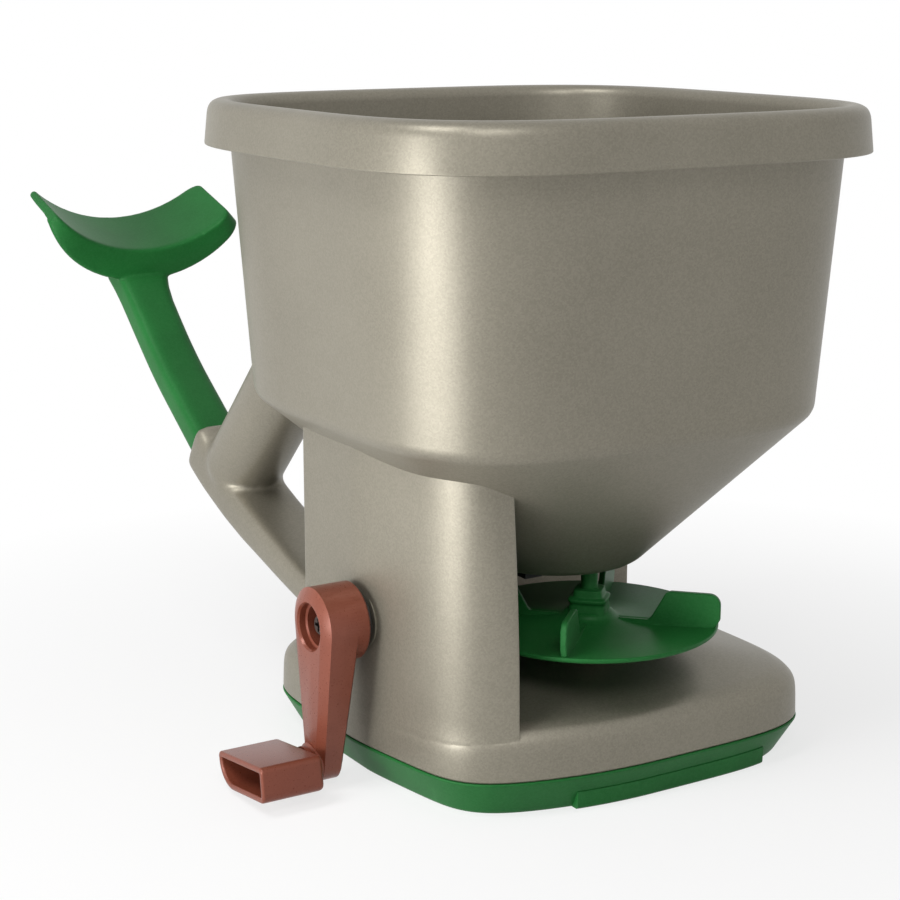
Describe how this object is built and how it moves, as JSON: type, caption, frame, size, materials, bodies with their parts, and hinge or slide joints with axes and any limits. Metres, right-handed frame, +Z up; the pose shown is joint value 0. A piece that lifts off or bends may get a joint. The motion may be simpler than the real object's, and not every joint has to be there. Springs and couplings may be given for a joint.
{
  "type": "hand spreader",
  "caption": "Hand-held broadcast spreader: square hopper on a gear column, side crank that turns a vaned spinner disc, loop grip and forearm rest.",
  "frame": {"origin": "on the floor under the hopper's middle, in the plane of the base plate's underside", "axes": "+Z up, -Y to the front where the material is thrown, +Y back along the forearm, -X to the crank"},
  "size_m": [0.2236, 0.3398, 0.231],
  "materials": {
    "taupe_plastic": "satin moulded plastic with a fine grain",
    "green_plastic": "moulded plastic, semi gloss",
    "rust_plastic": "moulded plastic, semi gloss",
    "gear_nylon": "natural nylon",
    "bearing_plastic": "black acetal",
    "steel": "zinc plated steel",
    "dark_steel": "blackened steel"
  },
  "bodies": {
    "body": {"hopper": "taupe_plastic", "housing": "taupe_plastic", "base_plate": "green_plastic", "handle": "taupe_plastic", "forearm_rest": "green_plastic", "impeller_bush": "bearing_plastic", "lay_bushes": "bearing_plastic", "gear_cradle": "bearing_plastic", "crank_bush": "bearing_plastic", "gate_guide": "bearing_plastic", "base_screws": "steel", "hopper_screws": "steel", "handle_screws": "steel", "cradle_screws": "steel", "rest_screw": "steel", "guide_screws": "steel"},
    "crank": {"crank_arm": "rust_plastic", "crank_shaft": "steel", "crank_washer": "dark_steel", "crank_screw": "dark_steel", "drive_gear": "gear_nylon", "knob_pin": "steel"},
    "knob": {"crank_knob": "rust_plastic"},
    "layshaft": {"lay_shaft": "steel", "lay_pinion": "gear_nylon", "bevel_gear": "gear_nylon"},
    "spinner": {"impeller": "green_plastic", "impeller_shaft": "green_plastic", "agitator": "green_plastic", "bevel_pinion": "gear_nylon"},
    "gate": {"gate_plate": "green_plastic"}
  },
  "joints": [
    {"name": "crank_spin", "type": "hinge", "parent": "body", "child": "crank", "pos_m": [-0.09, -0.013, 0.058], "axis": [1, 0, 0], "continuous": true},
    {"name": "knob_spin", "type": "hinge", "parent": "crank", "child": "knob", "pos_m": [-0.11, -0.013, 0.0095], "axis": [1, 0, 0], "continuous": true},
    {"name": "layshaft_spin", "type": "hinge", "parent": "body", "child": "layshaft", "pos_m": [-0.04, -0.04, 0.022], "axis": [1, 0, 0], "continuous": true},
    {"name": "spinner_spin", "type": "hinge", "parent": "body", "child": "spinner", "pos_m": [0, -0.04, 0.0527], "axis": [0, 0, 1], "continuous": true},
    {"name": "gate_slide", "type": "slide", "parent": "body", "child": "gate", "axis": [0, 1, 0], "range_m": [0, 0.02]}
  ],
  "couplings": [
    {"joint": "layshaft_spin", "follows": "crank_spin", "ratio": -2},
    {"joint": "spinner_spin", "follows": "crank_spin", "ratio": -3}
  ]
}
